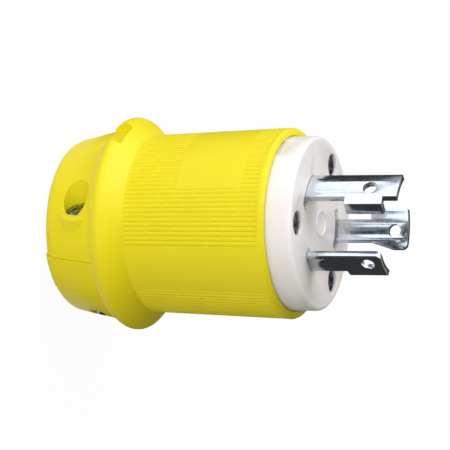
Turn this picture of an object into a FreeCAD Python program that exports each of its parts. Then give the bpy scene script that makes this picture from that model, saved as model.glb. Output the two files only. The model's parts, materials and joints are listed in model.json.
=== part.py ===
"""Locking power plug, 30 A class, three curved blades, standing on its cord end.

Millimetres. Z runs along the plug's axis, from the cord end (z = 0) to the blade tips.
Y points to the side where the cord clamp's screw heads are. X crosses the two fixed arms.
"""
import FreeCAD, Part
import math
import os

V = FreeCAD.Vector
ORIGIN = V(0, 0, 0)
AXIS = V(0, 0, 1)

# Housing, outside
ridge_r = 28.7             # widest point of the flange
ridge_round = 2.1          # radius over the flange's ridge
ridge_z = 18.3             # height of the ridge above the cord end
ring_z = 15.2              # rear edge of the fixed ring behind the flange
ring_r = 26.9              # radius of the drum where the ring begins
drum_rear_r = 23.45        # radius that the drum's cone would have at the cord end
arm_rear_round = 2.9       # rounding of the fixed arms at the cord end
body_rear_r = 23.9         # grip radius where it leaves the flange
body_front_r = 25.3        # grip radius at the front lip
rim_z = 63.6               # front edge of the grip
rim_round = 1.2            # rounding of the front lip

# Housing, inside
wall_rear = 2.8            # thickness of the wall that the cord passes through
cord_hole_r = 11.0         # hole in that wall
chamber_r = 20.5           # wiring chamber
base_bore_r = 21.2         # bore around the terminal base
carrier_seat_z = 54.0      # shoulder that the blade carrier sits on
base_seat_z = 33.0         # tops of the three bosses that carry the terminal base
carrier_bore_r = 23.2      # bore around the blade carrier
boss_r = 4.0               # bosses for the threaded inserts

# Grip ribs, label field and smooth bands
rib_count = 123            # rib places round the whole grip
groove_half = 0.4          # half the width of a groove
groove_depth = 0.3
groove_run_in = 0.35       # how far the grooves run on into the flange's slope
rib_front_gap = 1.7        # smooth band behind the front lip
band_angle = 17.4          # half the angle of the smooth bands on the two sides
label_angle = 39.0         # half the angle of the bare label field
label_z0 = 38.5
label_z1 = 56.7

# Relief in the flange on the clamp screws' side
relief_half = 4.8
relief_front_z = 21.2
relief_depth = 3.1         # depth of its floor below the flange's ridge
relief_round = 1.6         # its two front corners

# Cord clamp
arm_low = -6.6             # lower edge of the fixed arms
arm_high = 3.1             # upper edge of the fixed arms
arm_inner = 20.4           # flat inner faces of the arms
slide_gap = 0.2            # running clearance round the jaws
upper_round = 4.4          # rounding of the upper jaw at the cord end
lower_round = 3.2
upper_set_in = 1.4         # how far the upper jaw lies below the drum's surface
lower_set_in = 0.35        # the same for the lower jaw
jaw_split = 0.25           # each jaw stops this far from the middle plane
grip_r = 8.5               # cord opening between the jaws
grip_lead = 0.9            # chamfer at both ends of that opening
grip_groove_count = 3      # grooves that let the jaws bite the cord
grip_groove_w = 1.0
grip_groove_d = 0.8
grip_pitch = 3.4
grip_groove_z = 3.9        # rear edge of the first groove
clamp_spacing = 34.0       # distance between the two clamp screws
clamp_z = 10.6
pocket_r = 3.8             # pocket round each screw head
screw_boss_r = 5.8         # wall round that pocket
screw_boss_top = 14.5
screw_boss_round = 1.0     # rounding of that wall's outer edge
clamp_seat = 12.0          # plane under the screw heads
clamp_shank_r = 2.0
clamp_tip = -17.8
clamp_head_r = 3.5
clamp_head_h = 2.5
nut_seat = -11.0
nut_h = 3.2
nut_flats = 6.8

# Front insulator with the blade slots
carrier_gap = 0.2          # between the carrier and its bore
face_z = 70.5              # front face
face_round = 1.1
screw_circle_r = 17.7      # the three long screws
screw_angles = (150.0, 270.0, 30.0)
recess_r = 3.3             # recess for a long screw's head
recess_depth = 2.9
gate_r = 3.75              # ring at the middle of the face
gate_wall = 0.8
gate_h = 0.3
side_recess_angle = 10.0   # half the angle of the shallow recess beside the lip
side_recess_depth = 0.8
side_recess_z = 66.2
window_in_r = 11.1         # inner wall of the sunk window round each blade
window_depth = 2.0
slot_gap = 0.2             # between a blade and its slot
slot_side = 1.5            # the same at the blade's two sides, in degrees

# Terminal base
base_gap = 0.2             # between the base and its bore
pocket_half = 6.9          # half the width of a terminal pocket
pocket_rear_z = 38.5
mouth_r = 1.9              # obround mouth for the wire
mouth_half = 3.0
mouth_at = 14.9

# Blades
blade_r = 13.3             # middle of the blade's thickness
blade_t = 1.6
tail_z = 38.8              # rear end of the tails
shoulder_z = 51.5          # rear of the cross bar that stops the blade
shoulder_half = 6.5
hook_z = 80.2              # where the wide front part begins
line_tip_z = 90.5
ground_tip_z = 95.2
line_neck = 3.05           # half the width of a line blade's neck
line_hook = 5.65           # locking shoulder of a line blade
line_ramps = (5.1, 3.05)   # sloping side of each line blade; the second stays straight
ramp_end_z = 86.6
tip_round = 1.4
line_hole_r = 1.75
line_hole_z = 86.7
ground_neck = 4.0
ground_tab_angle = 25.3    # where the ground blade's tab turns inward
ground_tab_z0 = 81.4
ground_tab_z1 = 91.5
ground_flange = 3.3        # length of the turned-in part
ground_bend = 60.0         # how far it is turned in, in degrees
ground_hole_r = 1.9
ground_hole_z = 87.6
ground_hole_side = 1.2
ground_angle = 104.0
line_angles = (321.0, 198.8)

# Terminals
term_z = 45.0              # height of the terminal screws
term_shank_r = 2.0
term_head_r = 3.4
term_head_h = 2.3
wire_gap = 1.1             # free space between a blade's tail and its clamp plate
plate_t = 1.4
plate_half = 5.0
plate_long = 8.2
thread_gap = 0.05

# Long screws and their inserts
long_shank_r = 1.75
long_head_r = 3.05
long_head_h = 2.2
long_clear = 0.2
insert_r = 2.5
insert_long = 8.0
boss_relief = 3.0
slot_w = 0.9               # width of screwdriver slots
slot_d = 1.1
screw_point = 0.5          # chamfer at a screw's tip
long_slot_turn = 20.0      # how the slots of the long screws happen to stand
clamp_slot_turn = 25.0

blade_in = blade_r - blade_t / 2
blade_out = blade_r + blade_t / 2
screw_head_z = face_z - recess_depth
plate_in = blade_out + wire_gap
plate_out = plate_in + plate_t
clamp_places = (-clamp_spacing / 2, clamp_spacing / 2)


def cylinder(radius, low, high, x=0.0, y=0.0):
    """Upright cylinder between two heights."""
    return Part.makeCylinder(radius, high - low, V(x, y, low), AXIS)


def box(x0, x1, y0, y1, z0, z1):
    return Part.makeBox(x1 - x0, y1 - y0, z1 - z0, V(x0, y0, z0))


def outline(start, *moves):
    """Closed face in the X-Z plane; a move is an end point, or a middle and an end of an arc."""
    edges = []
    here = V(start[0], 0, start[1])
    for move in moves + ((start,),):
        end = V(move[-1][0], 0, move[-1][1])
        if len(move) == 2:
            edges.append(Part.Arc(here, V(move[0][0], 0, move[0][1]), end).toShape())
        else:
            edges.append(Part.LineSegment(here, end).toShape())
        here = end
    return Part.Face(Part.Wire(edges))


def turned(start, *moves):
    """Solid of revolution about Z from an outline of (radius, height) points."""
    return outline(start, *moves).revolve(ORIGIN, AXIS, 360)


def at_angle(shape, degrees):
    """Copy of a shape turned about the plug's axis."""
    copy = shape.copy()
    copy.rotate(ORIGIN, AXIS, degrees)
    return copy


def lying(shape):
    """Turn a shape built along +Z so that it points along +X."""
    copy = shape.copy()
    copy.rotate(ORIGIN, V(0, 1, 0), 90)
    return copy


def sector(r0, r1, a0, a1, z0, z1):
    """Piece of a tube between two angles in degrees."""
    step = math.radians((a0 + a1) / 2)
    start = math.radians(a0)
    stop = math.radians(a1)
    def at(r, a):
        return V(r * math.cos(a), r * math.sin(a), z0)
    edges = [
        Part.Arc(at(r1, start), at(r1, step), at(r1, stop)).toShape(),
        Part.LineSegment(at(r1, stop), at(r0, stop)).toShape(),
        Part.Arc(at(r0, stop), at(r0, step), at(r0, start)).toShape(),
        Part.LineSegment(at(r0, start), at(r1, start)).toShape(),
    ]
    return Part.Face(Part.Wire(edges)).extrude(V(0, 0, z1 - z0))


def rounded(shape, radius, chosen):
    """Fillet the edges whose middle passes a test."""
    edges = [e for e in shape.Edges if chosen(e.valueAt((e.FirstParameter + e.LastParameter) / 2))]
    return shape.makeFillet(radius, edges)


def radial_of(point):
    return math.hypot(point.x, point.y)


def drum(end_round):
    """Cone of the drum behind the ring, rounded at the cord end."""
    cone = turned((0, 0), ((drum_rear_r, 0),), ((ring_r, ring_z),), ((0, ring_z),))
    return rounded(cone, end_round, lambda p: abs(p.z) < 0.01 and radial_of(p) > 1)


def grip_radius(z):
    """Radius over the ribs at a height on the grip."""
    share = (z - junction_z) / (rim_z - junction_z)
    return body_rear_r + (body_front_r - body_rear_r) * share


# The flange's front slope falls at 45 degrees from the ridge to the grip
diagonal = ridge_round * math.cos(math.radians(45))
ridge_mid_r = ridge_r - ridge_round
slope_r = ridge_mid_r + diagonal
slope_z = ridge_z + diagonal
junction_z = slope_z + slope_r - body_rear_r


def housing_outside():
    """Ring, flange and tapering grip as one turned form."""
    rear = math.radians(50)
    rise = (ridge_mid_r + ridge_round * math.cos(rear), ridge_z - ridge_round * math.sin(rear))
    lip = rim_round * (1 - math.cos(math.radians(45)))
    return turned(
        (0, ring_z),
        ((ring_r, ring_z),),
        (rise,),
        ((ridge_r, ridge_z), (slope_r, slope_z)),
        ((body_rear_r, junction_z),),
        ((grip_radius(rim_z - rim_round), rim_z - rim_round),),
        ((body_front_r - lip, rim_z - lip), (body_front_r - rim_round, rim_z)),
        ((0, rim_z),),
    )


def groove(degrees, z0, z1):
    """V-shaped groove between two ribs, following the grip's taper."""
    deep = grip_radius(z0) - groove_depth
    over = grip_radius(z0) + groove_depth
    half = 2 * groove_half
    corners = [V(deep, 0, z0), V(over, half, z0), V(over, -half, z0), V(deep, 0, z0)]
    rise = V(grip_radius(z1) - grip_radius(z0), 0, z1 - z0)
    return at_angle(Part.Face(Part.makePolygon(corners)).extrude(rise), degrees)


def grip_grooves():
    """All the grooves, left out on the smooth bands and interrupted by the label field."""
    grooves = []
    first = junction_z - groove_run_in
    last = rim_z - rib_front_gap
    for n in range(rib_count):
        degrees = 360.0 * n / rib_count
        from_side = abs((degrees + 90) % 180 - 90)
        from_label = abs((degrees - 90 + 180) % 360 - 180)
        if from_side < band_angle:
            continue
        if from_label < label_angle:
            grooves.append(groove(degrees, first, label_z0))
            grooves.append(groove(degrees, label_z1, last))
        else:
            grooves.append(groove(degrees, first, last))
    return grooves


def housing_inside():
    """Cord hole, wiring chamber and the two bores, as solids to take away."""
    chamber_z = ring_z + wall_rear
    cut = cylinder(cord_hole_r, ring_z - 1, chamber_z + 1)
    cut = cut.fuse(cylinder(chamber_r, chamber_z, base_seat_z))
    cut = cut.fuse(cylinder(base_bore_r, base_seat_z, carrier_seat_z))
    return cut.fuse(cylinder(carrier_bore_r, carrier_seat_z, rim_z + 1))


def insert_boss(degrees):
    """Boss that stands on the rear wall and carries one end of the terminal base."""
    post = cylinder(boss_r, ring_z + wall_rear - 0.5, base_seat_z, screw_circle_r)
    inside = cylinder(chamber_r + 0.6, ring_z, base_seat_z)
    return at_angle(post.common(inside), degrees)


def insert_hole(degrees):
    """Seat of a threaded insert, with room for the screw's tip below it."""
    seat = cylinder(insert_r, base_seat_z - insert_long, base_seat_z + 0.1, screw_circle_r)
    low = base_seat_z - insert_long - boss_relief
    tip = cylinder(long_shank_r + long_clear, low, base_seat_z, screw_circle_r)
    return at_angle(seat.fuse(tip), degrees)


def clamp_arms():
    """The two fixed arms that reach back to the cord end between the jaws."""
    slab = box(-ridge_r, ridge_r, arm_low, arm_high, 0, ring_z)
    middle = box(-arm_inner, arm_inner, -ridge_r, ridge_r, -1, ring_z + 1)
    return drum(arm_rear_round).common(slab).cut(middle)


def flange_relief():
    """Pocket in the flange, open to the rear, that lets a screwdriver past."""
    floor = ridge_r - relief_depth
    room = box(-relief_half, relief_half, floor, ridge_r + ring_r, ring_z - 1, relief_front_z)
    return rounded(room, relief_round, lambda p: abs(p.z - relief_front_z) < 0.01
                   and abs(abs(p.x) - relief_half) < 0.01)


def make_housing():
    """One moulding: grip, flange, ring, arms and the bosses inside."""
    shell = housing_outside().cut(housing_inside())
    shell = shell.fuse([clamp_arms()] + [insert_boss(a) for a in screw_angles])
    shell = shell.cut([insert_hole(a) for a in screw_angles] + [flange_relief()])
    return shell.cut(grip_grooves()).removeSplitter()


def jaw_blank(side, set_in, end_round):
    """Outer form of a jaw before its bores; side is 1 for the upper jaw and -1 for the lower."""
    edge = arm_high + slide_gap if side > 0 else -arm_low + slide_gap
    form = drum(end_round)
    form.translate(V(0, -side * set_in, 0))
    front = ring_z - slide_gap
    wide = 2 * ridge_r
    outer = box(-wide, wide, edge, wide, -1, front)
    inner = box(slide_gap - arm_inner, arm_inner - slide_gap, jaw_split, edge + 1, -1, front)
    keep = outer.fuse(inner)
    if side < 0:
        keep = keep.mirror(ORIGIN, V(0, 1, 0))
    return form.common(keep)


def cord_bore():
    """Bore between the jaws: a chamfer at each end and grooves that bite the cord."""
    front = ring_z - slide_gap
    wide = grip_r + grip_lead
    moves = [((wide, -1),), ((wide, 0),), ((grip_r, grip_lead),)]
    for n in range(grip_groove_count):
        low = grip_groove_z + n * grip_pitch
        moves.append(((grip_r, low),))
        moves.append(((grip_r + grip_groove_d, low),))
        moves.append(((grip_r + grip_groove_d, low + grip_groove_w),))
        moves.append(((grip_r, low + grip_groove_w),))
    moves += [((grip_r, front - grip_lead),), ((wide, front),), ((wide, ring_z + 1),), ((0, ring_z + 1),)]
    return turned((0, -1), *moves)


def along_y(radius, low, high, x, z):
    return Part.makeCylinder(radius, high - low, V(x, low, z), V(0, 1, 0))


def hexagon_y(flats, low, high, x, z, turn=0.0):
    """Hexagonal prism along Y."""
    corner = flats / 2 / math.cos(math.radians(30))
    points = []
    for n in range(7):
        a = math.radians(60 * n + turn)
        points.append(V(x + corner * math.cos(a), low, z + corner * math.sin(a)))
    return Part.Face(Part.makePolygon(points)).extrude(V(0, high - low, 0))


def make_upper_jaw():
    """Jaw with the pockets and standing walls round the two screw heads."""
    jaw = jaw_blank(1, upper_set_in, upper_round)
    room = box(-ridge_r, ridge_r, arm_high + slide_gap, screw_boss_top, 0.5, ring_z - slide_gap)
    for x in clamp_places:
        wall = along_y(screw_boss_r, arm_high + slide_gap, screw_boss_top, x, clamp_z)
        wall = rounded(wall, screw_boss_round, lambda p: abs(p.y - screw_boss_top) < 0.01)
        jaw = jaw.fuse(wall.common(room))
    for x in clamp_places:
        jaw = jaw.cut(along_y(pocket_r, clamp_seat, ridge_r, x, clamp_z))
        jaw = jaw.cut(along_y(clamp_shank_r + slide_gap, 0, clamp_seat, x, clamp_z))
    return jaw.cut(cord_bore()).removeSplitter()


def make_lower_jaw():
    """Jaw that holds the two nuts in pockets open on its underside."""
    jaw = jaw_blank(-1, lower_set_in, lower_round)
    for x in clamp_places:
        jaw = jaw.cut(hexagon_y(nut_flats + slide_gap, -ridge_r, nut_seat, x, clamp_z))
        jaw = jaw.cut(along_y(clamp_shank_r + slide_gap, nut_seat, 0, x, clamp_z))
    return jaw.cut(cord_bore()).removeSplitter()


def screw(shank_r, shank, head_r, head, cross=True):
    """Screw along +Z with its head's underside at z = 0 and a domed, slotted head."""
    edge = head * 0.8
    bow = (head_r * 0.62, head * 0.95)
    body = turned(
        (0, -shank),
        ((shank_r - screw_point, -shank),),
        ((shank_r, screw_point - shank),),
        ((shank_r, 0),),
        ((head_r, 0),),
        ((head_r, edge),),
        (bow, (0, head)),
    )
    reach = 2 * head_r
    body = body.cut(box(-reach, reach, -slot_w / 2, slot_w / 2, head - slot_d, head + 1))
    if cross:
        arm = head_r * 0.55
        body = body.cut(box(-slot_w / 2, slot_w / 2, -arm, arm, head - slot_d, head + 1))
    return body


def make_clamp_screw(x):
    body = screw(clamp_shank_r, clamp_seat - clamp_tip, clamp_head_r, clamp_head_h)
    body.rotate(ORIGIN, AXIS, clamp_slot_turn)
    body.rotate(ORIGIN, V(1, 0, 0), -90)
    body.translate(V(x, clamp_seat, clamp_z))
    return body


def make_clamp_nut(x):
    nut = hexagon_y(nut_flats, nut_seat - nut_h, nut_seat, x, clamp_z)
    bore = along_y(clamp_shank_r + thread_gap, nut_seat - nut_h - 1, nut_seat + 1, x, clamp_z)
    return nut.cut(bore)


def blade_window(degrees, low, high):
    """Sunk window and the through slot of one blade, between two angles from its middle."""
    sunk = sector(window_in_r, blade_out + slot_gap, low, high, face_z - window_depth, face_z + 1)
    slot = sector(blade_in - slot_gap, blade_out + slot_gap, low, high, carrier_seat_z - 1, face_z)
    return at_angle(sunk.fuse(slot), degrees)


def angle_of(side):
    """Angle round the axis of a point on the blade's middle surface."""
    return math.degrees(math.asin(side / blade_r))


def make_carrier():
    """White front insulator: blade slots, screw recesses and the ring on its face."""
    radius = carrier_bore_r - carrier_gap
    block = cylinder(radius, carrier_seat_z, face_z)
    block = rounded(block, face_round, lambda p: abs(p.z - face_z) < 0.01)
    ring = cylinder(gate_r, face_z - 1, face_z + gate_h)
    ring = ring.cut(cylinder(gate_r - gate_wall, face_z - 2, face_z + 1))
    block = block.fuse(ring)
    cuts = []
    for degrees, ramp in zip(line_angles, line_ramps):
        cuts.append(blade_window(degrees, -angle_of(ramp) - slot_side, angle_of(line_hook) + slot_side))
    cuts.append(blade_window(ground_angle, -angle_of(ground_neck) - slot_side, ground_tab_angle + slot_side))
    cuts.append(at_angle(turned_in(slot_gap, carrier_seat_z - 1, face_z + 1), ground_angle))
    for degrees in screw_angles:
        hole = cylinder(recess_r, screw_head_z, face_z + 1, screw_circle_r)
        shank = cylinder(long_shank_r + long_clear, carrier_seat_z - 1, face_z, screw_circle_r)
        cuts.append(at_angle(hole.fuse(shank), degrees))
    floor = radius - side_recess_depth
    beside = sector(floor, radius + 1, -side_recess_angle, side_recess_angle, rim_z - 3, side_recess_z)
    cuts.append(at_angle(beside, 90))
    return block.cut(cuts).removeSplitter()


def make_base():
    """Insulator behind the carrier, with a pocket and a wire mouth for each terminal."""
    radius = base_bore_r - base_gap
    block = cylinder(radius, base_seat_z, carrier_seat_z)
    cuts = []
    for degrees in (ground_angle,) + line_angles:
        room = box(0, radius + 1, -pocket_half, pocket_half, pocket_rear_z, carrier_seat_z + 1)
        room = room.cut(cylinder(blade_in - slot_gap, pocket_rear_z - 1, carrier_seat_z + 2))
        mouth = box(mouth_at - mouth_r, mouth_at + mouth_r, -mouth_half, mouth_half,
                    base_seat_z - 1, pocket_rear_z + 1)
        for y in (-mouth_half, mouth_half):
            mouth = mouth.fuse(cylinder(mouth_r, base_seat_z - 1, pocket_rear_z + 1, mouth_at, y))
        cuts.append(at_angle(room.fuse(mouth), degrees))
    for degrees in screw_angles:
        hole = cylinder(long_shank_r + long_clear, base_seat_z - 1, carrier_seat_z + 1, screw_circle_r)
        cuts.append(at_angle(hole, degrees))
    return block.cut(cuts).removeSplitter()


def flat_blank(points):
    """Flat outline of (side, height) points, thick enough to cut a curved strip with."""
    corners = [V(blade_in / 2, side, z) for side, z in points]
    corners.append(corners[0])
    return Part.Face(Part.makePolygon(corners)).extrude(V(blade_out, 0, 0))


def turned_in(gap, z0, z1):
    """The ground blade's turned-in edge, grown all round by a gap."""
    plate = box(-blade_t - gap, gap, -gap, ground_flange + gap, z0, z1)
    plate.rotate(ORIGIN, AXIS, ground_bend)
    plate.translate(V(blade_out, 0, 0))
    return at_angle(plate, ground_tab_angle)


def strip(z0, z1):
    """Tube that all three blades are cut from."""
    return cylinder(blade_out, z0, z1).cut(cylinder(blade_in, z0 - 1, z1 + 1))


def tail_points(neck):
    """Outline of a blade's hidden half, from the tail's end to the cross bar."""
    return [
        (-neck, carrier_seat_z), (-shoulder_half, carrier_seat_z), (-shoulder_half, shoulder_z),
        (-neck, shoulder_z), (-neck, tail_z), (neck, tail_z), (neck, shoulder_z),
        (shoulder_half, shoulder_z), (shoulder_half, carrier_seat_z), (neck, carrier_seat_z),
    ]


def cross_hole(radius, z, side=0.0):
    """Hole straight through a blade."""
    return Part.makeCylinder(radius, 2 * blade_r, V(blade_in / 2, side, z), V(1, 0, 0))


def make_line_blade(degrees, ramp):
    """Power blade: square locking shoulder on one side, sloping or straight edge on the other."""
    front = [(line_neck, hook_z), (line_hook, hook_z), (line_hook, line_tip_z), (-ramp, line_tip_z)]
    if ramp > line_neck:
        front += [(-ramp, ramp_end_z), (-line_neck, hook_z)]
    blank = flat_blank(tail_points(line_neck) + front)
    blank = rounded(blank, tip_round, lambda p: abs(p.z - line_tip_z) < 0.01 and abs(p.y + ramp) < 0.01)
    blade = strip(tail_z, line_tip_z).common(blank)
    blade = blade.cut([cross_hole(line_hole_r, line_hole_z),
                       cross_hole(term_shank_r + thread_gap, term_z)])
    return at_angle(blade, degrees)


def make_ground_blade():
    """Longer blade whose wide tab turns inward along its edge."""
    front = [(ground_neck, ground_tip_z), (-ground_neck, ground_tip_z)]
    blade = strip(tail_z, ground_tip_z).common(flat_blank(tail_points(ground_neck) + front))
    tab = sector(blade_in, blade_out, 0, ground_tab_angle, ground_tab_z0, ground_tab_z1)
    turn = turned_in(0, ground_tab_z0, ground_tab_z1)
    blade = blade.fuse([tab, turn]).removeSplitter()
    blade = blade.cut([cross_hole(ground_hole_r, ground_hole_z, ground_hole_side),
                       cross_hole(term_shank_r + thread_gap, term_z)])
    return at_angle(blade, ground_angle)


def make_clamp_plate(degrees):
    """Flat plate that the terminal screw presses on the wire."""
    plate = box(plate_in, plate_out, -plate_half, plate_half,
                term_z - plate_long / 2, term_z + plate_long / 2)
    plate = plate.cut(cross_hole(term_shank_r + thread_gap * 3, term_z))
    return at_angle(plate, degrees)


def make_terminal_screw(degrees):
    length = plate_out - blade_in
    body = lying(screw(term_shank_r, length, term_head_r, term_head_h, cross=False))
    body.translate(V(plate_out, 0, term_z))
    return at_angle(body, degrees)


def make_long_screw(degrees):
    low = base_seat_z - insert_long - boss_relief / 2
    body = screw(long_shank_r, screw_head_z - low, long_head_r, long_head_h)
    body.rotate(ORIGIN, AXIS, long_slot_turn)
    body.translate(V(screw_circle_r, 0, screw_head_z))
    return at_angle(body, degrees)


def make_insert(degrees):
    tube = cylinder(insert_r, base_seat_z - insert_long, base_seat_z, screw_circle_r)
    bore = cylinder(long_shank_r + thread_gap, 0, base_seat_z + 1, screw_circle_r)
    return at_angle(tube.cut(bore), degrees)


def build():
    """Every piece of the plug under its own name."""
    parts = {
        "housing": make_housing(),
        "blade_carrier": make_carrier(),
        "terminal_base": make_base(),
        "upper_clamp_jaw": make_upper_jaw(),
        "lower_clamp_jaw": make_lower_jaw(),
        "ground_blade": make_ground_blade(),
        "ground_clamp_plate": make_clamp_plate(ground_angle),
        "ground_terminal_screw": make_terminal_screw(ground_angle),
    }
    for n, degrees in enumerate(line_angles, 1):
        parts["line_blade_%d" % n] = make_line_blade(degrees, line_ramps[n - 1])
        parts["line_clamp_plate_%d" % n] = make_clamp_plate(degrees)
        parts["line_terminal_screw_%d" % n] = make_terminal_screw(degrees)
    for n, degrees in enumerate(screw_angles, 1):
        parts["assembly_screw_%d" % n] = make_long_screw(degrees)
        parts["threaded_insert_%d" % n] = make_insert(degrees)
    for n, x in enumerate(clamp_places, 1):
        parts["clamp_screw_%d" % n] = make_clamp_screw(x)
        parts["clamp_nut_%d" % n] = make_clamp_nut(x)
    return parts


def main():
    os.makedirs("parts", exist_ok=True)
    for name, shape in build().items():
        solids = shape.Solids
        print(name, "solids", len(solids), "valid", shape.isValid(), "volume", round(shape.Volume, 1))
        single = solids[0] if len(solids) == 1 else shape
        single.exportStep("parts/%s.step" % name)


main()
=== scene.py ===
# %% [markdown]
# # A locking power plug
# The real object is a round plug of moulded nylon, about as long as a hand is wide. It has a
# yellow grip with fine ribs, a cord clamp at the back, a white insulator in front and three
# curved metal blades. The imported CAD model gives every size and place. This lesson puts finer
# surfaces over its visible pieces, gives them their finishes, and sets up the camera and light.

import json
import math
import bpy
import numpy as np
from mathutils import Matrix, Vector


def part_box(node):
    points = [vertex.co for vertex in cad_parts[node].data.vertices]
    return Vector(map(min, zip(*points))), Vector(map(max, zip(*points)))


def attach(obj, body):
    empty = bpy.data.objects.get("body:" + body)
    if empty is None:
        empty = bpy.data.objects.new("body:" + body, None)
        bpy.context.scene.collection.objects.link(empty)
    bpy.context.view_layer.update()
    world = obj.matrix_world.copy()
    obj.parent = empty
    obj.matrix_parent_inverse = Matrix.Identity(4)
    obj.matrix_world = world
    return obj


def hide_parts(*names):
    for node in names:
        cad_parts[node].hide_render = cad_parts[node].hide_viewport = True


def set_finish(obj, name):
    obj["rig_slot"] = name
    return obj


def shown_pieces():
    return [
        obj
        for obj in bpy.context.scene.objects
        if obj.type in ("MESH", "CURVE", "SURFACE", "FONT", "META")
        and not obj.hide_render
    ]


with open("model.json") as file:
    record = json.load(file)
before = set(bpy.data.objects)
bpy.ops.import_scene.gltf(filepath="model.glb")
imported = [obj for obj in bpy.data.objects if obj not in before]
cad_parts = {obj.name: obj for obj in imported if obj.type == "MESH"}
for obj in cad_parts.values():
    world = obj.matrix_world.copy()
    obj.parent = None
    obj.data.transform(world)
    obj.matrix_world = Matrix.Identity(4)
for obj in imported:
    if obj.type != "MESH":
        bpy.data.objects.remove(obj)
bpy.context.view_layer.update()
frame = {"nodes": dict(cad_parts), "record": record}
nodes = frame["nodes"]
MM = 0.001
print("CAD nodes:", len(nodes))

# %% [markdown]
# A turned or moulded piece is a surface of two parameters. One runs round the plug's axis and
# the other along an outline. The helpers below hold all the bookkeeping for such grids, so that
# each piece only has to say what its outline is.

# %% From grids of points to meshes
def mesh_piece(name, points, faces, body=None):
    """Object in metres from an array of points in millimetres and a list of faces."""
    mesh = bpy.data.meshes.new(name)
    mesh.from_pydata((np.asarray(points, float) * MM).tolist(), [], faces)
    mesh.validate()
    mesh.update()
    piece = bpy.data.objects.new(name, mesh)
    bpy.context.scene.collection.objects.link(piece)
    if body:
        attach(piece, body)
    return piece


def ring_faces(rows, columns, close_rows=False):
    """Quads of a grid whose columns close on themselves, and whose rows may as well."""
    steps = np.arange(rows if close_rows else rows - 1)
    i, j = np.meshgrid(steps, np.arange(columns), indexing="ij")
    up = (i + 1) % rows
    on = (j + 1) % columns
    quads = np.stack([i * columns + j, i * columns + on, up * columns + on, up * columns + j], -1)
    return quads.reshape(-1, 4).tolist()


def carried_round(r, z, columns):
    """Points of a turned surface: radius r and height z at angle a go to (r cos a, r sin a, z).
    Each row of r holds one radius, or one for every column."""
    a = 2 * np.pi * np.arange(columns) / columns
    return np.stack([r * np.cos(a), r * np.sin(a), z + 0 * a], -1).reshape(-1, 3)


def arc(centre, radius, start, stop, count):
    """Points centre + radius * (cos a, sin a) for a from start to stop, in degrees."""
    a = np.radians(np.linspace(start, stop, count))
    return np.stack([centre[0] + radius * np.cos(a), centre[1] + radius * np.sin(a)], 1)


def outline_of(*runs):
    """One (n, 2) array from single points and runs of points."""
    return np.concatenate([np.atleast_2d(np.asarray(run, float)) for run in runs])


def recalculated(piece):
    """Turn every face of a closed mesh outwards."""
    bpy.context.view_layer.objects.active = piece
    bpy.ops.object.select_all(action="DESELECT")
    piece.select_set(True)
    bpy.ops.object.mode_set(mode="EDIT")
    bpy.ops.mesh.select_all(action="SELECT")
    bpy.ops.mesh.normals_make_consistent(inside=False)
    bpy.ops.object.mode_set(mode="OBJECT")
    return piece


# %% [markdown]
# Nylon mouldings have no knife edges: every corner carries a small radius that catches the
# light. A Bevel modifier adds it after the main form is right, and smooth shading is then kept
# sharp only at the true corners.

# %% Softened corners and cut-outs
corner_angle = 32.0
sharp_margin = 8.0
weld_gap = 0.0005


def settle(piece):
    """Keep what the modifiers make as the piece's own mesh."""
    graph = bpy.context.evaluated_depsgraph_get()
    done = bpy.data.meshes.new_from_object(piece.evaluated_get(graph))
    piece.modifiers.clear()
    old = piece.data
    piece.data = done
    bpy.data.meshes.remove(old)
    return piece


def merge(piece):
    """Weld points closer than weld_gap."""
    weld = piece.modifiers.new("weld", "WELD")
    weld.merge_threshold = weld_gap * MM
    return settle(piece)


def shade(piece, angle):
    """Shade smoothly, with the edges over an angle in degrees kept sharp."""
    piece.data.polygons.foreach_set("use_smooth", np.ones(len(piece.data.polygons), bool))
    piece.data.set_sharp_from_angle(angle=math.radians(angle))
    return piece


def soften(piece, width, segments=3):
    """Round the edges sharper than corner_angle by a width in millimetres, then shade smoothly."""
    bevel = piece.modifiers.new("soft corners", "BEVEL")
    bevel.width = width * MM
    bevel.segments = segments
    bevel.limit_method = "ANGLE"
    bevel.angle_limit = math.radians(corner_angle)
    return shade(settle(piece), corner_angle + sharp_margin)


def carve(piece, tool):
    """Cut a tool's volume from a piece, and drop the tool."""
    cut = piece.modifiers.new("cut", "BOOLEAN")
    cut.operation = "DIFFERENCE"
    cut.solver = "EXACT"
    cut.object = tool
    settle(piece)
    mesh = tool.data
    bpy.data.objects.remove(tool)
    bpy.data.meshes.remove(mesh)
    return piece


def turned(name, outline, columns):
    """Closed (radius, height) outline carried round; points on the axis meet in a pole."""
    points = carried_round(outline[:, :1], outline[:, 1:], columns)
    return recalculated(merge(mesh_piece(name, points, ring_faces(len(outline), columns, True))))


def prism(outline, low, high, plane="xy"):
    """Cutting tool: an outline in one plane, carried from low to high along the third axis."""
    n = len(outline)
    first, second = np.concatenate([outline, outline]).T
    rise = np.repeat([low, high], n)
    points = np.stack([first, second, rise] if plane == "xy" else [first, rise, second], 1)
    faces = ring_faces(2, n) + [list(range(n)), list(range(2 * n - 1, n - 1, -1))]
    return recalculated(mesh_piece("tool", points, faces))


def bar(x0, x1, y0, y1, z0, z1):
    """Cutting tool: a plain block between six planes."""
    return prism(np.array([(x0, y0), (x1, y0), (x1, y1), (x0, y1)], float), z0, z1)


# %% [markdown]
# The grip is one yellow moulding: a ring, the flange that keeps the hand from the blades, and a
# body that widens a little to the front. Some hundred fine ribs run along the body, left out on
# two smooth bands and on the bare field where a label may go. The ribs are part of the surface
# formula, not objects: each point's radius gets a dip where a groove passes.

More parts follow.
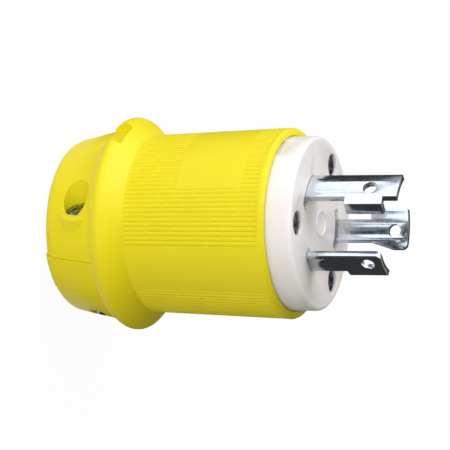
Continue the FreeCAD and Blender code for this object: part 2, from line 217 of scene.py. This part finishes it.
# %% Sizes of the grip, in millimetres
housing_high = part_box("housing")[1]
rim_z = housing_high.z / MM
ridge_r = housing_high.x / MM
ridge_z = 18.3
ridge_round = 2.1
ring_z = 15.2
ring_r = 26.9
drum_rear_r = 23.45
body_rear_r = 23.9
body_front_r = 25.3
rim_round = 1.2
foot_step = 0.3
wall_front = 18.0
cord_hole_r = 11.0
chamber_r = 20.5
base_r = 21.2
base_z = 33.0
seat_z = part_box("blade_carrier")[0].z / MM
bore_r = 23.2
bore_chamfer = 0.3
print("grip: flange radius %.2f mm, front edge at %.2f mm" % (ridge_r, rim_z))

# %% Ribs as a dip in the radius
rib_count = 123
points_per_rib = 10
groove_depth = 0.26
groove_share = 0.42
band_half = 15.9
label_half = 39.0
label_low, label_high = 38.5, 56.7
plain_front = 1.7
rib_end = rim_z - plain_front
fade_round = 0.2
fade_label = 0.5
fade_end = 0.3


def step_up(x, at, width):
    """Smooth step from 0 to 1 over a width centred on a place."""
    t = np.clip((x - at) / width + 0.5, 0, 1)
    return t * t * (3 - 2 * t)


def rib_dip(degrees, z):
    """Depth of the grooves: a narrow bell at every rib place, times the masks of the plain areas."""
    phase = np.sin(np.radians(degrees) * rib_count / 2)
    bell = np.exp(-(phase / groove_share) ** 2)
    from_side = np.abs((degrees + 90) % 180 - 90)
    from_label = np.abs((degrees - 90 + 180) % 360 - 180)
    outside_bands = step_up(from_side, band_half, fade_round)
    in_label = 1 - step_up(from_label, label_half, fade_round)
    in_label = in_label * step_up(z, label_low, fade_label) * (1 - step_up(z, label_high, fade_label))
    before_end = 1 - step_up(z, rib_end, fade_end)
    return groove_depth * bell * outside_bands * (1 - in_label) * before_end


# %% The grip moulding
ridge_from, ridge_to = -50, 45
ridge_mid_r = ridge_r - ridge_round
slope_r = ridge_mid_r + ridge_round * math.cos(math.radians(ridge_to))
slope_z = ridge_z + ridge_round * math.sin(math.radians(ridge_to))
junction_z = slope_z + slope_r - body_rear_r  # a slope of 45 degrees rises as much as it narrows
hair = 0.02  # a tiny chamfer that keeps the ring's edge crisp
grip_sharp = 50


def grip_radius(z):
    """Radius over the ribs: a straight taper from the flange to the front lip."""
    return body_rear_r + (body_front_r - body_rear_r) * (z - junction_z) / (rim_z - junction_z)


def make_grip():
    """Outline carried round the axis, with the rib dip taken off every radius on the body. Its
    rows stand close together where a mask of the ribs starts or ends, and far apart between."""
    close_rows = np.array([-0.25, 0.0, 0.25])
    body_z = np.concatenate([
        np.linspace(junction_z + 0.06, label_low - 0.35, 6),
        label_low + close_rows,
        np.linspace(label_low + 0.6, label_high - 0.6, 4),
        label_high + close_rows,
        np.linspace(label_high + 0.8, rib_end - 0.5, 3),
        rib_end + np.array([-0.15, 0.0, 0.15, 0.3]),
    ])
    body = np.stack([grip_radius(body_z), body_z], 1)
    foot = np.array([(body_rear_r + foot_step, junction_z - foot_step), (body_rear_r, junction_z)])
    lip = arc((body_front_r - rim_round, rim_z - rim_round), rim_round, 0, 90, 7)
    ridge = arc((ridge_mid_r, ridge_z), ridge_round, ridge_from, ridge_to, 9)
    outline = outline_of(
        (cord_hole_r, ring_z), (chamber_r, ring_z), (ring_r - hair, ring_z), (ring_r, ring_z + hair),
        ridge, foot, body, lip,
        (bore_r + bore_chamfer, rim_z), (bore_r, rim_z - bore_chamfer), (bore_r, seat_z),
        (base_r, seat_z), (base_r, base_z), (chamber_r, base_z), (chamber_r, wall_front),
        (cord_hole_r, wall_front),
    )
    columns = rib_count * points_per_rib
    degrees = 360 * np.arange(columns) / columns
    radius, height = outline[:, :1], outline[:, 1:]
    on_body = (radius > bore_r + bore_chamfer + hair) & (height > junction_z + hair)
    radii = radius - np.where(on_body, rib_dip(degrees, height), 0)
    points = carried_round(radii, height, columns)
    return mesh_piece("grip", points, ring_faces(len(outline), columns, True), "plug")


grip = make_grip()
print("grip:", len(grip.data.polygons), "faces")

# %% [markdown]
# The flange has a small pocket on the side of the clamp screws, open to the rear, so that a
# screwdriver reaches them past it. Its two front corners are round. It is cut with a bar of that
# shape, as the mould's own core does it.

# %% Relief in the flange
relief_half = 4.8
relief_front_z = 20.6
relief_floor = 25.6
relief_round = 0.9
corner_x = relief_half - relief_round
corner_z = relief_front_z - relief_round
relief = outline_of((-relief_half, ring_z - 1), (relief_half, ring_z - 1),
                    arc((corner_x, corner_z), relief_round, 0, 90, 9),
                    arc((-corner_x, corner_z), relief_round, 90, 180, 9))
carve(grip, prism(relief, relief_floor, ridge_r + 3, "xz"))
shade(grip, grip_sharp)
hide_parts("housing")
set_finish(grip, "yellow_nylon")

# %% [markdown]
# Behind the ring, two fixed arms of the same moulding reach back to the cord end. They lie
# between the two jaws of the cord clamp, and all four share one cone, the drum.

# %% The two fixed arms
arm_low, arm_high = -6.6, 3.1
arm_inner = 20.4
arm_rear_round = 2.9
arm_corner = 0.3
past_drum = 40.0
drum_columns = 360
drum_slope = math.atan2(ring_r - drum_rear_r, ring_z)


def drum_outline():
    """Half outline of the drum: rear face, a rounded corner, then the cone up to the ring."""
    turn = 90 - math.degrees(drum_slope)
    reach = arm_rear_round * math.tan(math.radians(turn) / 2)
    centre = (drum_rear_r - reach, arm_rear_round)
    corner = arc(centre, arm_rear_round, -90, -math.degrees(drum_slope), 10)
    return outline_of((0, 0), corner, (ring_r, ring_z), (0, ring_z))


def make_arms():
    """Drum with everything cut away but the two arms."""
    arms = turned("clamp_arms", drum_outline(), drum_columns)
    carve(arms, bar(-past_drum, past_drum, arm_high, past_drum, -1, ring_z + 1))
    carve(arms, bar(-past_drum, past_drum, -past_drum, arm_low, -1, ring_z + 1))
    carve(arms, bar(-arm_inner, arm_inner, 1 - past_drum, past_drum - 1, -2, ring_z + 2))
    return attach(arms, "plug")


arms = make_arms()
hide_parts("housing")
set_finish(arms, "yellow_nylon")
soften(arms, arm_corner)
print("arms:", len(arms.data.polygons), "faces")

# %% [markdown]
# The jaws, the front insulator and the screws keep the CAD's own shapes, which are exact. What
# they lack is the small rounding of every corner. So each is a copy of its node: the loose
# triangles are welded, flat areas become single faces again, and a Bevel modifier rounds the rest.

# %% Copies of CAD nodes with rounded corners
jaw_corner, carrier_corner, blade_corner, screw_corner, nut_corner = 0.3, 0.25, 0.18, 0.12, 0.15


def from_cad(node, body, slot, width):
    """Welded copy of a node's mesh with its corners rounded by a width in millimetres."""
    piece = bpy.data.objects.new("fine_" + node, nodes[node].data.copy())
    bpy.context.scene.collection.objects.link(piece)
    merge(piece)
    flat = piece.modifiers.new("flat areas", "DECIMATE")
    flat.decimate_type = "DISSOLVE"
    flat.angle_limit = math.radians(1.0)
    settle(piece)
    soften(piece, width, segments=2)
    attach(piece, body)
    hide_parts(node)
    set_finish(piece, slot)
    print(node, len(piece.data.polygons), "faces")
    return piece


from_cad("upper_clamp_jaw", "upper_jaw", "yellow_nylon", jaw_corner)
from_cad("lower_clamp_jaw", "lower_jaw", "yellow_nylon", jaw_corner)
from_cad("blade_carrier", "plug", "white_nylon", carrier_corner)
for node in ("ground_blade", "line_blade_1", "line_blade_2"):
    from_cad(node, "plug", "nickel_plate", blade_corner)
long_screws = [from_cad("assembly_screw_%d" % n, "plug", "plated_steel", screw_corner)
               for n in (1, 2, 3)]
for n in (1, 2):
    from_cad("clamp_screw_%d" % n, "upper_jaw", "plated_steel", screw_corner)
for n in (1, 2):
    from_cad("clamp_nut_%d" % n, "lower_jaw", "plated_steel", nut_corner)

# %% [markdown]
# The long screws' rounded crowns nearly fill their recesses in the white face. So the points above
# each head's underside are lifted until the crown is just below the face.

# %% Crowns of the long screws
head_height = 2.0
crown_below = 0.45
front_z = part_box("blade_carrier")[1].z / MM


def raise_crown(screw, top_z):
    """Lift a screw's points above its head's underside until the highest is at a height."""
    mesh = screw.data
    points = np.empty(3 * len(mesh.vertices))
    mesh.vertices.foreach_get("co", points)
    z = points[2::3]
    z[z > z.max() - head_height * MM] += top_z * MM - z.max()
    mesh.vertices.foreach_set("co", points)
    mesh.update()
    return z.max() / MM


crowns = [round(raise_crown(screw, front_z - crown_below), 2) for screw in long_screws]
print("crowns of the long screws at", crowns, "mm")

# %% [markdown]
# Every finish is built from nodes. Object coordinates hold the pattern still on the piece, and
# one group gives the fine mottle that moulded and plated surfaces share.

# %% The mottle that all finishes share
def make_mottle():
    """Shader node group: a cloudy mask and a fine grain height, both from noise in metres."""
    group = bpy.data.node_groups.new("mottle", "ShaderNodeTree")
    for label, value in (("Coarse", 60.0), ("Fine", 2600.0), ("Contrast", 1.0)):
        socket = group.interface.new_socket(label, in_out="INPUT", socket_type="NodeSocketFloat")
        socket.default_value = value
    for label in ("Mask", "Height"):
        group.interface.new_socket(label, in_out="OUTPUT", socket_type="NodeSocketFloat")
    add, link = group.nodes.new, group.links.new
    source = add("NodeGroupInput")
    result = add("NodeGroupOutput")
    place = add("ShaderNodeTexCoord")
    cloud = add("ShaderNodeTexNoise")
    grain = add("ShaderNodeTexNoise")
    cloud.inputs["Detail"].default_value = 3.0
    grain.inputs["Detail"].default_value = 2.0
    link(place.outputs["Object"], cloud.inputs["Vector"])
    link(place.outputs["Object"], grain.inputs["Vector"])
    link(source.outputs["Coarse"], cloud.inputs["Scale"])
    link(source.outputs["Fine"], grain.inputs["Scale"])
    centre = add("ShaderNodeMath")
    centre.operation = "SUBTRACT"
    centre.inputs[1].default_value = 0.5
    gain = add("ShaderNodeMath")
    gain.operation = "MULTIPLY_ADD"
    gain.inputs[2].default_value = 0.5
    gain.use_clamp = True
    link(cloud.outputs["Fac"], centre.inputs[0])
    link(centre.outputs[0], gain.inputs[0])
    link(source.outputs["Contrast"], gain.inputs[1])
    link(gain.outputs[0], result.inputs["Mask"])
    link(grain.outputs["Fac"], result.inputs["Height"])
    return group


mottle = make_mottle()


def new_finish(name, dark, light, rough, coarse, fine, bump, contrast=1.6, **sockets):
    """Principled material whose colour and roughness run between two ends by the mottle's mask.
    Bump is a strength and a height in millimetres; further sockets take plain values."""
    material = bpy.data.materials.new(name)
    material.use_nodes = True
    tree = material.node_tree
    tree.nodes.clear()
    add, link = tree.nodes.new, tree.links.new
    surface = add("ShaderNodeBsdfPrincipled")
    result = add("ShaderNodeOutputMaterial")
    pattern = add("ShaderNodeGroup")
    pattern.node_tree = mottle
    pattern.inputs["Coarse"].default_value = coarse
    pattern.inputs["Fine"].default_value = fine
    pattern.inputs["Contrast"].default_value = contrast
    colour = add("ShaderNodeMix")
    colour.data_type = "RGBA"
    colour.inputs["A"].default_value = (*dark, 1)
    colour.inputs["B"].default_value = (*light, 1)
    gloss = add("ShaderNodeMapRange")
    gloss.inputs["To Min"].default_value = rough[0]
    gloss.inputs["To Max"].default_value = rough[1]
    relief = add("ShaderNodeBump")
    relief.inputs["Strength"].default_value = bump[0]
    relief.inputs["Distance"].default_value = bump[1] * MM
    link(pattern.outputs["Mask"], colour.inputs["Factor"])
    link(pattern.outputs["Mask"], gloss.inputs["Value"])
    link(pattern.outputs["Height"], relief.inputs["Height"])
    link(colour.outputs["Result"], surface.inputs["Base Color"])
    link(gloss.outputs["Result"], surface.inputs["Roughness"])
    link(relief.outputs["Normal"], surface.inputs["Normal"])
    for label, value in sockets.items():
        surface.inputs[label.replace("_", " ")].default_value = value
    link(surface.outputs["BSDF"], result.inputs["Surface"])
    return material


# %% The finishes
finish_rows = [
    dict(name="yellow_nylon", dark=(0.83, 0.715, 0.003), light=(0.87, 0.755, 0.006),
         rough=(0.40, 0.50), coarse=60, fine=2600, bump=(0.12, 0.02), Specular_IOR_Level=0.35),
    dict(name="white_nylon", dark=(0.885, 0.86, 0.825), light=(0.92, 0.895, 0.865),
         rough=(0.34, 0.42), coarse=90, fine=2200, bump=(0.12, 0.02),
         Subsurface_Weight=0.3, Subsurface_Scale=0.002, Subsurface_Radius=(1.0, 0.85, 0.55)),
    dict(name="nickel_plate", dark=(0.54, 0.57, 0.61), light=(0.68, 0.71, 0.76),
         rough=(0.09, 0.20), coarse=700, fine=3600, bump=(0.5, 0.02), Metallic=1.0),
    # plated_steel runs from near black to grey with a strong mottle: painted dark reflections and
    # speckled glints, darker than bare plated steel, so that the screw heads don't mirror the yellow
    # round them.
    dict(name="plated_steel", dark=(0.03, 0.034, 0.046), light=(0.44, 0.47, 0.55),
         rough=(0.12, 0.28), coarse=1500, fine=4200, bump=(0.3, 0.02), contrast=2.6, Metallic=1.0),
    dict(name="terminal_brass", dark=(0.55, 0.36, 0.12), light=(0.68, 0.47, 0.18),
         rough=(0.22, 0.36), coarse=500, fine=4200, bump=(0.2, 0.02), Metallic=1.0),
]
finishes = {row["name"]: new_finish(**row) for row in finish_rows}

# %% Give every piece its finish
for part in frame["record"]["subparts"]:
    node = nodes[part["node"]]
    node.data.materials.clear()
    node.data.materials.append(finishes[part["material_slot"]])
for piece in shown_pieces():
    if "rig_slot" in piece:
        piece.data.materials.clear()
        piece.data.materials.append(finishes[piece["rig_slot"]])

# %% [markdown]
# The camera looks at the plug from the side and a little from the front, and is rolled by a
# quarter turn, so that the standing plug lies across the picture with its blades to the right.

# %% Camera
toward = Vector((math.cos(math.radians(150)), math.sin(math.radians(150)), 0))
picture_up = Vector((math.cos(math.radians(60)), math.sin(math.radians(60)), 0))
up_axis = Vector((0, 0, 1))
tilt = math.radians(22.12)
distance = 0.6417
aim_z, aim_right, aim_up = 42.8, 0.39, -0.41
back = math.sin(tilt) * up_axis + math.cos(tilt) * toward
right = picture_up.cross(back)
aim = aim_z * MM * up_axis + aim_right * MM * right + aim_up * MM * picture_up
turn = Matrix((right, picture_up, back)).transposed().to_4x4()
camera = bpy.data.objects.new("camera", bpy.data.cameras.new("camera"))
bpy.context.scene.collection.objects.link(camera)
camera.matrix_world = Matrix.Translation(aim + distance * back) @ turn
camera.data.sensor_width = 36.0
camera.data.lens = 192.0
camera.data.clip_start = 0.01
camera.data.clip_end = 20.0
bpy.context.scene.camera = camera

# %% [markdown]
# The stage's world and materials are worked out from directions, distances and heights. A few
# helpers add the nodes for that.

# %% Helpers for the stage's nodes
def number_node(tree, operation, *terms):
    """Output of a Math node whose inputs are sockets or plain numbers."""
    node = tree.nodes.new("ShaderNodeMath")
    node.operation = operation
    for slot, term in zip(node.inputs, terms):
        if isinstance(term, float):
            slot.default_value = term
        else:
            tree.links.new(term, slot)
    return node.outputs[0]


def vector_node(tree, operation, vector, constant=None):
    """Vector Math node of a socket and, for some operations, a constant vector."""
    node = tree.nodes.new("ShaderNodeVectorMath")
    node.operation = operation
    tree.links.new(vector, node.inputs[0])
    if constant is not None:
        node.inputs[1].default_value = constant
    return node


def smooth_window(tree, value, start, stop, low=0.0, high=1.0):
    """Output that goes smoothly from low to high as a value goes from start to stop."""
    window = tree.nodes.new("ShaderNodeMapRange")
    window.interpolation_type = "SMOOTHSTEP"
    window.inputs["From Min"].default_value = start
    window.inputs["From Max"].default_value = stop
    window.inputs["To Min"].default_value = low
    window.inputs["To Max"].default_value = high
    tree.links.new(value, window.inputs["Value"])
    return window.outputs["Result"]


def stage_material(name):
    """Material with an empty node tree but for its output, and that tree and output's input."""
    material = bpy.data.materials.new(name)
    material.use_nodes = True
    tree = material.node_tree
    tree.nodes.clear()
    return material, tree, tree.nodes.new("ShaderNodeOutputMaterial").inputs["Surface"]


# %% [markdown]
# The light is soft and comes mostly from the side that the picture shows as the top. One lamp
# stands between that side and the camera, a wide one before the blades, one at the camera's
# side and one behind the plug for its far side. The last two aren't seen in reflections. The
# world is pale on the lit side and dim on the other, and its strength follows the angle to its
# brightest direction.

# %% Four lamps and a graded world
middle = Vector((0, 0, 0.048))
lamp_reach = 0.9
cool = (1.0, 0.985, 1.14)
plain = (1.0, 0.985, 1.06)


def lamp(name, direction, size, power, colour):
    """Square area lamp at lamp_reach from the plug's middle in a direction, facing the middle."""
    light = bpy.data.lights.new(name, "AREA")
    light.shape = "SQUARE"
    light.size = size
    light.energy = power
    light.color = colour
    holder = bpy.data.objects.new(name, light)
    bpy.context.scene.collection.objects.link(holder)
    place = middle + lamp_reach * direction.normalized()
    holder.location = place
    holder.rotation_euler = (middle - place).to_track_quat("-Z", "Y").to_euler()
    return holder


lamp("key", 0.6 * picture_up + 0.8 * toward, 0.6, 1.6, cool)
lamp("front", 0.6 * picture_up + 0.8 * up_axis, 0.8, 5.3, cool)
for holder in (lamp("fill", toward, 0.6, 5.5, plain), lamp("rear", -toward, 0.6, 3.0, plain)):
    holder.visible_glossy = False


def make_world():
    """World whose strength goes from dim opposite picture_up to pale in its direction."""
    world = bpy.data.worlds.new("booth")
    bpy.context.scene.world = world
    world.use_nodes = True
    tree = world.node_tree
    sky = tree.nodes["Background"]
    sky.inputs["Color"].default_value = (1.0, 0.97, 0.78, 1)
    heading = tree.nodes.new("ShaderNodeTexCoord").outputs["Generated"]
    facing = vector_node(tree, "DOT_PRODUCT", heading, picture_up).outputs["Value"]
    tree.links.new(smooth_window(tree, facing, -1.0, 1.0, 0.1, 0.66), sky.inputs["Strength"])


make_world()

# %% [markdown]
# The plug stands on white paper whose far edge is turned up, so that low views stay white too.
# To the camera and in reflections the paper mostly glows at a strength of one, which is white,
# and the rest is plain diffuse paper that keeps the plug's shadow.

# %% White paper
paper_r = 2400.0
paper_rise = 500.0
paper_z = -0.05
paper_glow = 0.97


def make_paper():
    """Disc of radius paper_r at height paper_z, then a wall up to paper_rise, in millimetres."""
    columns = 96
    r = np.array([[20.0], [500.0], [paper_r], [paper_r]])
    z = np.array([[paper_z], [paper_z], [paper_z], [paper_rise]])
    faces = ring_faces(len(r), columns) + [list(range(columns))]
    return mesh_piece("paper", carried_round(r, z, columns), faces)


def paper_finish():
    """Glow for camera, glossy and transmission rays, and plain diffuse paper for all others."""
    material, tree, surface = stage_material("paper")
    dull = tree.nodes.new("ShaderNodeBsdfDiffuse")
    dull.inputs["Color"].default_value = (0.7, 0.7, 0.7, 1)
    glow = tree.nodes.new("ShaderNodeEmission")
    ray = tree.nodes.new("ShaderNodeLightPath").outputs
    seen = number_node(tree, "MAXIMUM", ray["Is Camera Ray"], ray["Is Glossy Ray"])
    seen = number_node(tree, "MAXIMUM", seen, ray["Is Transmission Ray"])
    blend = tree.nodes.new("ShaderNodeMixShader")
    tree.links.new(number_node(tree, "MULTIPLY", seen, paper_glow), blend.inputs[0])
    tree.links.new(dull.outputs[0], blend.inputs[1])
    tree.links.new(glow.outputs[0], blend.inputs[2])
    tree.links.new(blend.outputs[0], surface)
    return material


floor = make_paper()
floor.data.materials.append(paper_finish())

# %% [markdown]
# Polished metal shows what stands around it, and white paper alone makes it flat and pale. A
# photographer sets cards round the object, out of sight. Here a low ring of glowing card with its
# own floor is seen in reflections only, so its glow is painted reflection: dark all round and near
# the plug, grey towards the camera, with a bright strip to the upper side, a small one below the
# camera, and a high pale one beyond the plug that paints the flange's sheen.

# %% Ring of glowing cards that paints the reflections
card_near_r, card_far_r = 32.0, 170.0
card_floor_z, card_top_z = 0.6, 160.0
# Dark base strength and tint of the glow that paints the reflections of the ring of cards.
dark_reflection_glow = 0.05
reflection_glow_tint = (0.89, 0.95, 1.0, 1)


def make_reflection_glow_cards():
    """Floor from card_near_r to card_far_r just above the paper, then a wall up to card_top_z."""
    columns = 180
    r = np.array([[card_near_r], [card_far_r], [card_far_r]])
    z = np.array([[card_floor_z], [card_floor_z], [card_top_z]])
    return mesh_piece("reflection_glow_cards", carried_round(r, z, columns), ring_faces(len(r), columns))


def object_place(tree):
    """Output with a point's place on the object, in metres."""
    return tree.nodes.new("ShaderNodeTexCoord").outputs["Object"]


def flat_place(tree):
    """Output with a point's place, its height taken off."""
    return vector_node(tree, "MULTIPLY", object_place(tree), (1, 1, 0)).outputs[0]


def bright_towards(tree, degrees, near, far):
    """Value that rises from 0 to 1 as a point's direction from the plug nears an axis. The axis
    lies at an angle from picture_up toward the camera, and near and far are angles from it."""
    turned_by = math.radians(degrees)
    axis = math.cos(turned_by) * picture_up + math.sin(turned_by) * toward
    unit = vector_node(tree, "NORMALIZE", flat_place(tree)).outputs[0]
    along = vector_node(tree, "DOT_PRODUCT", unit, axis).outputs["Value"]
    return smooth_window(tree, along, math.cos(math.radians(far)), math.cos(math.radians(near)))


def away_from_plug(tree, near, far):
    """Value that rises from 0 to 1 with a point's distance from the plug's axis, in metres."""
    reach = vector_node(tree, "LENGTH", flat_place(tree)).outputs["Value"]
    return smooth_window(tree, reach, near, far)


def above_paper(tree, low, high):
    """Value that rises from 0 to 1 with a point's height, in metres."""
    split = tree.nodes.new("ShaderNodeSeparateXYZ")
    tree.links.new(object_place(tree), split.inputs[0])
    return smooth_window(tree, split.outputs["Z"], low, high)


def painted_reflection_finish():
    """Painted reflections: a glow of the dark base strength, plus a gain times a mask for each
    lighter area.
    """
    material, tree, surface = stage_material("painted_reflection_glow")
    # Each mask adds a brighter painted reflection; the crown's high pale glow paints the flange's
    # sheen.
    strip = number_node(tree, "MULTIPLY", bright_towards(tree, 32, 22, 33),
                        away_from_plug(tree, 0.05, 0.10))
    crown = number_node(tree, "MULTIPLY", bright_towards(tree, -18, 22, 45),
                        above_paper(tree, 0.07, 0.10))
    kick = number_node(tree, "MULTIPLY", bright_towards(tree, 110, 8, 17),
                       away_from_plug(tree, 0.160, 0.169))
    grey = bright_towards(tree, 90, 5, 65)
    strength = dark_reflection_glow
    for gain, mask in ((1.7, strip), (1.4, crown), (1.5, kick), (0.25, grey)):
        strength = number_node(tree, "MULTIPLY_ADD", mask, gain, strength)
    glow = tree.nodes.new("ShaderNodeEmission")
    glow.inputs["Color"].default_value = reflection_glow_tint
    tree.links.new(strength, glow.inputs["Strength"])
    tree.links.new(glow.outputs[0], surface)
    return material


# The glowing cards are hidden from the camera, diffuse light and shadows, so they only paint
# reflections.
reflection_glow_cards = make_reflection_glow_cards()
reflection_glow_cards.visible_camera = False
reflection_glow_cards.visible_diffuse = False
reflection_glow_cards.visible_transmission = False
reflection_glow_cards.visible_volume_scatter = False
reflection_glow_cards.visible_shadow = False
reflection_glow_cards.data.materials.append(painted_reflection_finish())

bpy.context.scene.view_settings.view_transform = "Standard"
